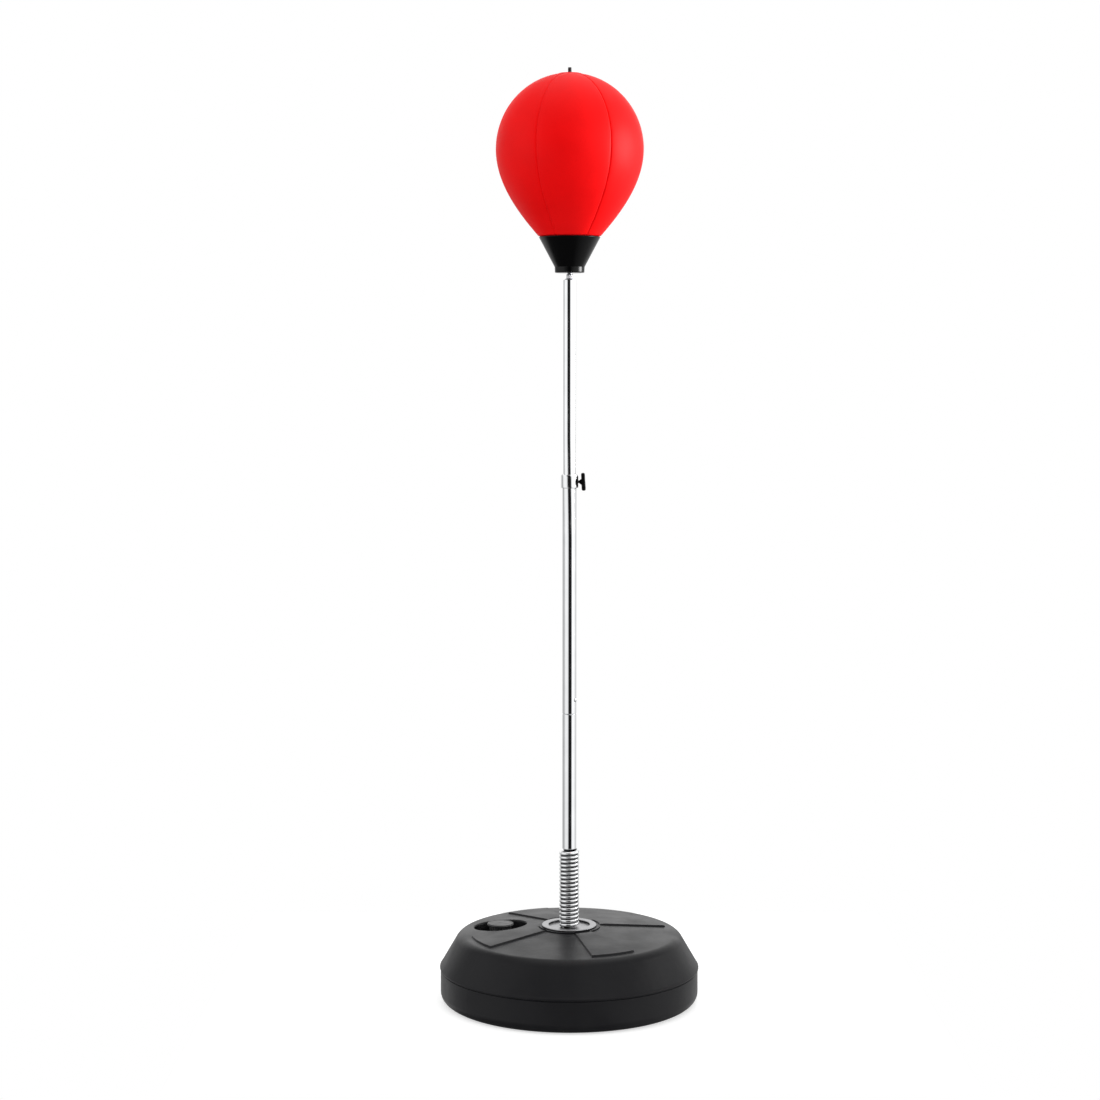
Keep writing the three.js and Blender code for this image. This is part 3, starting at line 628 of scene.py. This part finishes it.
def hub_parts(flange_metal, zinc):
    """The flange the spring stands in, and the bolt and washer that hold it from underneath."""
    pressing = [
        (6.6, 120.9), (36, 120.9, 1), (36.4, 124.6, 1), (45.6, 124.6, 0.4), (45.8, 126.6, 1.2),
        (43.6, 126.6, 0.5), (34.6, 126.5, 0.9), (33.8, 122.9, 1.1), (6.6, 122.9),
    ]
    lathe("flange_pressing", pressing, flange_metal, "base", ["hub_flange"], ROUND)
    hexagonal("bolt_head", 18, 5, 12.5, zinc, "base", ["centre_bolt"])
    lathe("bolt_shank", [(0, 11), (5.9, 11), (5.9, 144, 1), (0, 144)], zinc, "base")
    washer = [(6.6, 15.2, 0.3), (34, 15.2, 0.5), (34, 17.7, 0.5), (6.6, 17.7, 0.3)]
    lathe("plate_washer", washer, zinc, "base", ["base_washer"])


def hexagonal(name, across, z0, z1, material, body, nodes=(), bore=0):
    """A hexagon prism with its corners turned off by a cone at both ends."""
    corner_r, end_r = across / math.sqrt(3), across / 2 - 0.1
    chamfer = 0.06 * across
    steps = 96
    rings = []
    for z, limit in ((z0, end_r), (z0 + chamfer, corner_r), (z1 - chamfer, corner_r), (z1, end_r)):
        ring = []
        for k in range(steps):
            angle = TAU * k / steps
            flat = across / 2 / math.cos((angle + math.pi / 6) % (math.pi / 3) - math.pi / 6)
            radius = min(flat, limit)
            ring.append((radius * math.cos(angle), radius * math.sin(angle), z))
        rings.append(ring)
    if bore:
        rings += [circle(bore, z1, steps), circle(bore, z0, steps), rings[0]]
    points, faces = sweep_rings(rings, not bore)
    return add_mesh(name, points, faces, material, body, nodes)


def wire_ring(turn):
    """The wire's round section after that many turns of the spring."""
    angle = SPRING_START_ANGLE + TAU * turn
    out = Vector((math.cos(angle), math.sin(angle), 0))
    ahead = Vector((-math.sin(angle), math.cos(angle), 0))
    along = (ahead * SPRING_R + Vector((0, 0, SPRING_PITCH / TAU))).normalized()
    up = out.cross(along)
    centre = out * SPRING_R + Vector((0, 0, SPRING_START_Z + SPRING_PITCH * turn))
    return [centre + out * x + up * y for x, y, _ in circle(WIRE_R, 0, WIRE_ROUND)]


def helix_piece(name, from_turn, to_turn, material):
    """Part of the close-wound spring, as a mesh tube of round wire with flat cut ends."""
    steps = round((to_turn - from_turn) * STEPS_PER_TURN)
    rings = [wire_ring(from_turn + (to_turn - from_turn) * i / steps) for i in range(steps + 1)]
    points, faces = sweep_rings(rings)
    return add_mesh(name, points, faces, material, None)


def coil_spring(material):
    """The spring in two halves, cut apart at SPRING_MIDDLE_Z."""
    middle = (SPRING_MIDDLE_Z - SPRING_START_Z) / SPRING_PITCH
    low = helix_piece("spring_lower_coils", 0, middle, material)
    high = helix_piece("spring_upper_coils", middle, SPRING_TURNS, material)
    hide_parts("coil_spring")
    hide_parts("coil_spring")
    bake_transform(low)
    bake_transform(high)


# ---------------------------------------------------------------- pole


def tubes(chrome_plate):
    """The three tubes: a stepped lower one, a middle one on its spigot, and a sliding one."""
    lower = [
        (8.3, 225), (9.5, 225, 0.5), (9.5, 251.8, 2), (TUBE_R, 255.4, 2),
        (TUBE_R, SEAM_Z - 0.4, 0.5), (10.6, SEAM_Z - 0.2, 0.3), (10.1, SEAM_Z + 0.6),
        (10.1, SPIGOT_TOP, 0.4), (8.9, SPIGOT_TOP), (8.9, SEAM_Z - 0.4),
        (TUBE_BORE, SEAM_Z - 2.4), (TUBE_BORE, 256), (8.3, 252.4),
    ]
    lathe("lower_tube_plated", lower, chrome_plate, "pole", ["lower_tube"])
    low, high = SEAM_Z + 0.3, 872
    outline = [(TUBE_BORE, low, 0.3), (TUBE_R, low, 0.5), (TUBE_R, high), (TUBE_BORE, high)]
    middle = lathe("middle_tube_plated", outline, chrome_plate, None)
    drill = [(0, 6), (BUTTON_HOLE_R, 6), (BUTTON_HOLE_R, 16), (0, 16)]
    cut(middle, lathe("button_hole", drill, None, None, segments=48, place=BUTTON_PLACE))
    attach(middle, "pole")
    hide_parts("middle_tube")
    upper = [
        (UPPER_BORE, 790), (UPPER_R, 790, 0.4), (UPPER_R, 1197.5, 0.45), (UPPER_BORE, 1197.5, 0.3),
    ]
    lathe("upper_tube_plated", upper, chrome_plate, "top", ["upper_tube"])


def snap_button(material):
    """A domed pin with a flange inside the tube."""
    pin = [(0, 5), (4.6, 5, 0.3), (4.6, 7.2, 0.3), (3.2, 7.2), (3.2, 13.45, 1.8), (0, 13.45)]
    lathe("button_dome", pin, material, "snap_button", ["snap_button"], 64, BUTTON_PLACE)


def clamp(chrome_plate, black, oxide):
    """The collar on top of the middle tube, with the boss, screw and T-bar knob on its side."""
    collar = [
        (11.95, 856.8), (13.8, 856.8, 0.9), (13.8, 877, 1), (13.4, 879, 0.7), (10.65, 879, 0.3),
        (10.65, 872.3), (11.95, 872.3),
    ]
    lathe("collar_ring", collar, chrome_plate, "pole", ["clamp_collar"], 128)
    boss_body(black)
    start = 12.1
    thread = thread_rows(
        2.15, 2.5, start, KNOB_THREAD_PITCH, KNOB_THREADS, flank=0.3, top=0.45, foot=0.75,
    )
    screw = [(0, start), *thread, (0, thread[-1][1])]
    lathe("knob_thread", screw, oxide, "clamp_knob", ["knob_screw"], 48, KNOB_PLACE)
    hub = [(0, 16.6), (3.1, 16.6, 0.4), (3.6, 17.6, 0.5), (6, 20.6), (0, 20.6)]
    lathe("knob_hub", hub, black, "clamp_knob", ["knob_handle"], 64, KNOB_PLACE)
    t_bar(black)


def boss_body(material):
    """The round boss the screw runs in, hollowed to sit against the collar."""
    outline = [(0, 0), (9.8, 0), (9.8, 14.3, 0.9), (3.4, 14.3, 0.3), (3, 13.6), (0, 13.6)]
    boss = lathe("knob_boss_moulding", outline, material, None, segments=96, place=KNOB_PLACE)
    low, high = KNOB_Z - 14, KNOB_Z + 14
    room = [(0, low), (BOSS_SEAT_R, low), (BOSS_SEAT_R, high), (0, high)]
    cut(boss, lathe("collar_room", room, None, None, segments=96))
    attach(boss, "pole")
    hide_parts("knob_boss")


def t_bar(material):
    """The knob's cross bar: a bar of rounded section that swells a little towards rounded ends."""
    rings = []
    steps = 40
    for i in range(steps + 1):
        t = -1 + 2 * i / steps
        z = BAR_HALF_LENGTH * math.sin(t * math.pi / 2)
        end = math.sqrt(max(0, 1 - abs(z / BAR_HALF_LENGTH) ** 16))
        half_x = BAR_HALF_X * (0.96 + 0.04 * abs(t)) * end * (0.94 if z > 0 else 1)
        half_y = BAR_HALF_Y * (0.9 + 0.1 * abs(t)) * end
        ring = []
        for c, s, _ in circle(1, 0, 40):
            size = (abs(c) ** 4 + abs(s) ** 4) ** -0.25
            ring.append((half_x * size * c, half_y * size * s, z))
        rings.append(ring)
    tilt = at(BAR_X, 0, KNOB_Z) @ Matrix.Rotation(math.radians(-3), 4, "Y")
    points, faces = sweep_rings([[tilt @ Vector(p) for p in ring] for ring in rings])
    add_mesh("knob_bar", points, faces, material, "clamp_knob")


# ---------------------------------------------------------------- top fitting and cup


def top_fitting(zinc, black):
    """The plug and stud in the upper tube, the washer and nut on the stud, and the ball's cup."""
    plug = [
        (0, 1172), (8.75, 1172, 0.5), (8.75, 1197.2, 0.6), (4.3, 1197.2), (4.3, 1178), (0, 1178),
    ]
    lathe("plug_turned", plug, zinc, "top", ["top_plug"])
    thread = thread_rows(
        3.45, 4, STUD_Z, STUD_THREAD_PITCH, STUD_THREADS, flank=0.35, top=0.5, foot=0.95,
    )
    stud = [(0, STUD_Z), *thread, (0, thread[-1][1])]
    lathe("stud_thread", stud, zinc, "top", ["top_stud"], 48)
    washer = [(4.4, 1197.9, 0.2), (7.4, 1197.9, 0.3), (7.4, 1199, 0.3), (4.4, 1199, 0.2)]
    lathe("washer_flat", washer, zinc, "top", ["stud_washer"])
    hexagonal("nut_hex", 10.6, 1199.4, 1206.2, zinc, "top", ["stud_nut"], bore=4.2)
    cup = [
        (4.6, 1208.9), (24.1, 1208.9, 1.4), (24.5, 1218.3, 1.2), (50.2, 1266.6, 0.8),
        (49.0, 1267.6, 0.6), (47.8, 1266.6, 0.4), (21.9, 1218.3), (21.9, 1213.1), (4.6, 1213.1),
    ]
    lathe("cup_moulding", cup, black, "top", ["ball_cup"], ROUND)


# ---------------------------------------------------------------- ball


def tail_r(z):
    """The ball's radius at a height below its widest place."""
    return BALL_R * math.cos((math.pi / 2) * (BALL_Z - z) / TAIL_LENGTH)


def crown_z(r):
    """The height of the ball's crown at a radius."""
    return BALL_Z + CROWN_HEIGHT * math.sqrt(1 - (r / BALL_R) ** 2)


def skin_rows():
    """The skin's outside as (r, z) rows from inside the cup up to the top patch."""
    rows = [(12, 1224.5), (24.8, 1224.8), (46.9, 1266.2), (47.4, 1267.4), (48.2, 1268.2)]
    tail, crown = 64, 56
    for i in range(tail + 1):
        z = CUP_RIM_Z + (BALL_Z - CUP_RIM_Z) * i / tail
        rows.append((tail_r(z), z))
    last = math.acos((PATCH_R - 3) / BALL_R)
    for i in range(1, crown + 1):
        angle = last * i / crown
        rows.append((BALL_R * math.cos(angle), BALL_Z + CROWN_HEIGHT * math.sin(angle)))
    return rows


def seam_dent(distance, along):
    """How far the skin is drawn in at that distance from a seam. Stitches pucker it along it."""
    pucker = 1 + 0.22 * math.sin(TAU * along / 7)
    tight = 1.1 * math.exp(-((distance / 1.2) ** 2))
    wide = 0.4 * math.exp(-((distance / 6) ** 2)) * pucker
    return tight + wide


def gore_columns(r):
    """(angle from the gore's middle, distance to the nearer seam) across one gore at radius r."""
    half = math.pi / GORES
    near = (0.05, 0.4, 0.9, 1.5, 2.3, 3.4, 5, 7.5, 11)
    edge = [-half + min(d / r, half * 0.06 * (i + 1)) for i, d in enumerate(near)]
    angles = edge + between(edge[-1], -edge[-1], 22) + [-angle for angle in reversed(edge)]
    return [(angle, (half - abs(angle)) * r) for angle in angles]


def skin_normal(rows, i):
    """The outward direction of the skin at row i, as (r, z)."""
    before, after = Vector(rows[max(0, i - 1)]), Vector(rows[min(len(rows) - 1, i + 1)])
    tangent = (after - before).normalized()
    return Vector((tangent.y, -tangent.x))


def gore_ring(middle, r, z, out, along):
    """One row of a gore: across its outside, dented at the seams, and back along its inside."""
    fade = smoothstep((z - CUP_RIM_Z + 7) / 20)
    outside, inside = [], []
    for angle, distance in gore_columns(r):
        dent = seam_dent(distance, along) * (0.25 + 0.75 * fade)
        for row, depth in ((outside, dent), (inside, SKIN)):
            radius = r - out.x * depth
            x, y = radius * math.cos(middle + angle), radius * math.sin(middle + angle)
            row.append((x, y, z - out.y * depth))
    return outside + inside[::-1]


def end_caps(row_points, rows):
    """Quads that close the two ends of a gore, between its outside and its inside."""
    faces = []
    for row in (0, rows - 1):
        start = row * row_points
        for k in range(row_points // 2 - 1):
            far = start + row_points - 1 - k
            quad = (start + k, start + k + 1, far - 1, far)
            faces.append(quad[::-1] if row else quad)
    return faces


def ball_gore(index, material):
    """One leather panel, from the cup to the patch."""
    middle = FIRST_SEAM + math.pi / GORES + index * TAU / GORES
    rows = skin_rows()
    rings = []
    along = 0
    for i, (r, z) in enumerate(rows):
        if i:
            along += math.dist(rows[i - 1], (r, z))
        rings.append(gore_ring(middle, r, z, skin_normal(rows, i), along))
    points, faces = sweep_rings(rings, False)
    faces += end_caps(len(rings[0]), len(rows))
    name = f"gore_{index + 1}"
    piece = add_mesh("leather_" + name, points, faces, material, "top", ["ball_" + name])


def ball_top(leather, black):
    """The round patch where the gores meet, and the valve through it."""
    above_crown = (
        (3.4, -1.4), (3.4, 0.6, 0.3), (6, 0.8), (9, 0.8), (12, 0.8), (15, 0.8), (17.5, 0.8),
        (19.4, 0.6), (20.6, 0.1), (PATCH_R, -0.7), (20.2, -1.4),
    )
    patch = [(r, crown_z(r) + rise, *fillet) for r, rise, *fillet in above_crown]
    lathe("patch_leather", patch, leather, "top", ["top_patch"], 96)
    root = crown_z(3) - 9
    valve = [
        (0, root), (3, root), (3, 1530.6, 0.3), (3.25, 1531.4, 0.3), (3.25, 1532.4, 0.3),
        (2.85, 1533.2, 0.3), (2.85, 1539.2), (2.5, 1540, 0.35), (1.1, 1540, 0.2), (0.9, 1538.4),
        (0, 1538.2),
    ]
    lathe("valve_moulding", valve, black, "top", ["valve_stem"], 48)


# ---------------------------------------------------------------- studio


# How bright the studio is round the stand, by degrees from the front. Right is positive.
AROUND = (
    (-180, 0.6), (-140, 0.75), (-118, 0.5), (-100, 0.42), (-88, 0.95), (-60, 1.1), (-30, 1.0),
    (-24, 0.5), (-17, 0.012), (25, 0.012), (31, 0.6), (38, 1.25), (85, 1.25), (98, 0.75),
    (110, 0.8), (122, 0.9), (180, 0.6),
)
# The same higher up, for directions that climb more than about 30 degrees.
OVERHEAD = (
    (-180, 1.2), (-155, 0.6), (-112, 0.4), (-95, 0.85), (-45, 0.85), (-17, 0.8), (24, 0.8),
    (40, 0.85), (115, 0.8), (140, 1.0), (180, 1.2),
)
BELOW = (0.85, 0.85, 0.85, 1)  # how much of AROUND is left below the horizon
BACKDROP = (1.5, 1.5, 1.5, 1)  # straight behind the stand
TABLE = (0.75, 0.75, 0.75, 1)  # what shows in place of the floor in reflections
WHITE = (1.0, 1.0, 1.0, 1)

# Name, place, what it is aimed at, width, height, power in watts, spread in degrees, and whether it
# shows in reflections. Those that don't light matt surfaces only.
LIGHTS = (
    ("key_right", (2.9, 0.1, 1.55), (0, 0, 1.43), 2.4, 1.6, 15, 40, True),
    ("front_right", (1.9, -3.2, 1.7), (0, 0, 1.5), 1.2, 1.2, 20, 180, False),
    ("fill_left", (-2.9, -1.0, 1.6), (0, 0, 1.2), 1.6, 2.2, 18, 180, False),
    ("fill_low", (-1.1, -3.0, 0.4), (0, 0, 1.35), 1.5, 1.0, 16, 180, False),
    ("top_soft", (0.2, 0.5, 3.4), (0, 0, 0.4), 2.4, 2.4, 12, 180, True),
)
CAMERA_PLACE, CAMERA_DOWN, LENS, SENSOR = (-0.0321, -3.8072, 1.0711), 4.757, 75.75, 36
FLOOR_SIDE, FLOOR_FRONT, FLOOR_BACK, FLOOR_Z = 0.6, -0.5, 0.6, -0.4 * MM  # in metres


class StudioWorld(Nodes):
    """White to the camera. To the object, a ring of light with a dark gap in front."""

    def __init__(self, world):
        world.use_nodes = True
        self.tree = world.node_tree
        direction = self.node("ShaderNodeTexCoord").outputs["Generated"]
        x, y, z = self.node("ShaderNodeSeparateXYZ", {0: direction}).outputs
        lean = self.range(z, -0.12, 0.3, -0.075, -0.035)
        angle = self.math("ADD", self.math("ARCTAN2", x, self.math("MULTIPLY", y, -1.0)), lean)
        share = self.range(angle, 0, 1, -math.pi, math.pi)
        around = self.ramp(share, *[(0.5 + degrees / 360, grey) for degrees, grey in AROUND])
        above_back = self.range(z, 0, 1, 0.07, 0.16)
        behind = self.math("MULTIPLY", self.range(y, 0, 1, 0.68, 0.95), above_back)
        ring = self.mix(behind, around, BACKDROP)
        dimmed = self.mix(1.0, ring, BELOW, "MULTIPLY")
        level = self.mix(self.range(z, 1, 0, -0.22, -0.02), ring, dimmed)
        table = self.mix(self.range(z, 1, 0, -0.34, -0.26), level, TABLE)
        deep = self.ramp(self.range(x, 0, 1, -1, 1), (0.66, 0.12), (0.92, 0.55))
        lower = self.mix(self.range(z, 1, 0, -0.52, -0.42), table, deep)
        overhead = self.ramp(share, *[(0.5 + degrees / 360, grey) for degrees, grey in OVERHEAD])
        upper = self.mix(self.range(z, 0, 1, 0.45, 0.7), lower, overhead)
        lit = self.mix(self.range(z, 0, 1, 0.8, 0.97), upper, WHITE)
        seen = self.node("ShaderNodeLightPath").outputs["Is Camera Ray"]
        color = self.mix(seen, lit, WHITE)
        self.tree.links.new(color, self.tree.nodes["Background"].inputs["Color"])


def studio():
    """Plain soft light, a pale floor and the camera."""
    scene = bpy.context.scene
    scene.view_settings.view_transform = "Standard"
    scene.world = bpy.data.worlds.new("studio")
    StudioWorld(scene.world)
    for light in LIGHTS:
        area_light(*light)
    pale_floor(scene)
    camera(scene)


def area_light(name, place, target, width, height, power, spread, mirrored):
    light = bpy.data.lights.new(name, "AREA")
    light.shape = "RECTANGLE"
    light.size = width
    light.size_y = height
    light.energy = power
    light.spread = math.radians(spread)
    obj = bpy.data.objects.new(name, light)
    obj.visible_glossy = mirrored
    obj.location = place
    obj.rotation_euler = (Vector(target) - Vector(place)).to_track_quat("-Z", "Y").to_euler()
    bpy.context.scene.collection.objects.link(obj)


def pale_floor(scene):
    """A floor that takes the shadow but stays out of the reflections, where TABLE stands for it."""
    mesh = bpy.data.meshes.new("floor")
    corners = [
        (-FLOOR_SIDE, FLOOR_FRONT, 0), (FLOOR_SIDE, FLOOR_FRONT, 0), (FLOOR_SIDE, FLOOR_BACK, 0),
        (-FLOOR_SIDE, FLOOR_BACK, 0),
    ]
    mesh.from_pydata(corners, [], [(0, 1, 2, 3)])
    mesh.materials.append(floor_paint())
    floor = bpy.data.objects.new("floor", mesh)
    floor.location.z = FLOOR_Z
    floor.visible_glossy = False
    scene.collection.objects.link(floor)


def camera(scene):
    data = bpy.data.cameras.new("camera")
    data.sensor_width = SENSOR
    data.lens = LENS
    obj = bpy.data.objects.new("camera", data)
    obj.location = CAMERA_PLACE
    obj.rotation_euler = (math.radians(90 - CAMERA_DOWN), 0, 0)
    scene.collection.objects.link(obj)
    scene.camera = obj


# ---------------------------------------------------------------- assembly


def paint(frame, material, *nodes):
    """Gives carried-over CAD nodes a material."""
    for node in nodes:
        mesh = frame["nodes"][node].data
        mesh.materials.clear()
        mesh.materials.append(material)


def main():
    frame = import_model()
    tank = tank_plastic()
    chrome_plate = chrome()
    zinc = plated("zinc_plate", (0.58, 0.58, 0.6), 0.32)
    flange_metal = flange_steel()
    cap_black = moulded("cap_black", (0.012, 0.012, 0.0125), 0.4, specular_ior_level=0.6)
    cup_black = moulded(
        "cup_black", (0.0006, 0.0006, 0.0007), 0.2, grain_mm=0.6, specular_ior_level=0.22,
    )
    knob_black = moulded("knob_black", (0.002, 0.002, 0.002), 0.3, specular_ior_level=0.15)
    leather = ball_leather()
    black_rubber = rubber("black_rubber", (0.008, 0.008, 0.008))

    studio()
    base_tank(tank)
    filler_neck(tank)
    fill_cap(cap_black)
    hub_parts(flange_metal, zinc)
    coil_spring(chrome("spring_chrome", 0.08, 6))
    tubes(chrome_plate)
    snap_button(chrome_plate)
    clamp(chrome_plate, knob_black, plated("black_oxide", (0.02, 0.02, 0.021), 0.4))
    top_fitting(zinc, cup_black)
    for index in range(GORES):
        ball_gore(index, leather)
    ball_top(leather, black_rubber)

    paint(frame, zinc, "spring_stub", "anchor_disc")
    paint(frame, plated("spring_steel", (0.35, 0.35, 0.37), 0.35), "lock_washer", "button_clip")
    paint(frame, plated("slug_brass", (0.6, 0.42, 0.16), 0.3), "pressure_slug")
    paint(frame, rubber("latex_bladder", (0.16, 0.04, 0.03)), "bladder")
    paint(frame, black_rubber, "cap_seal")


main()
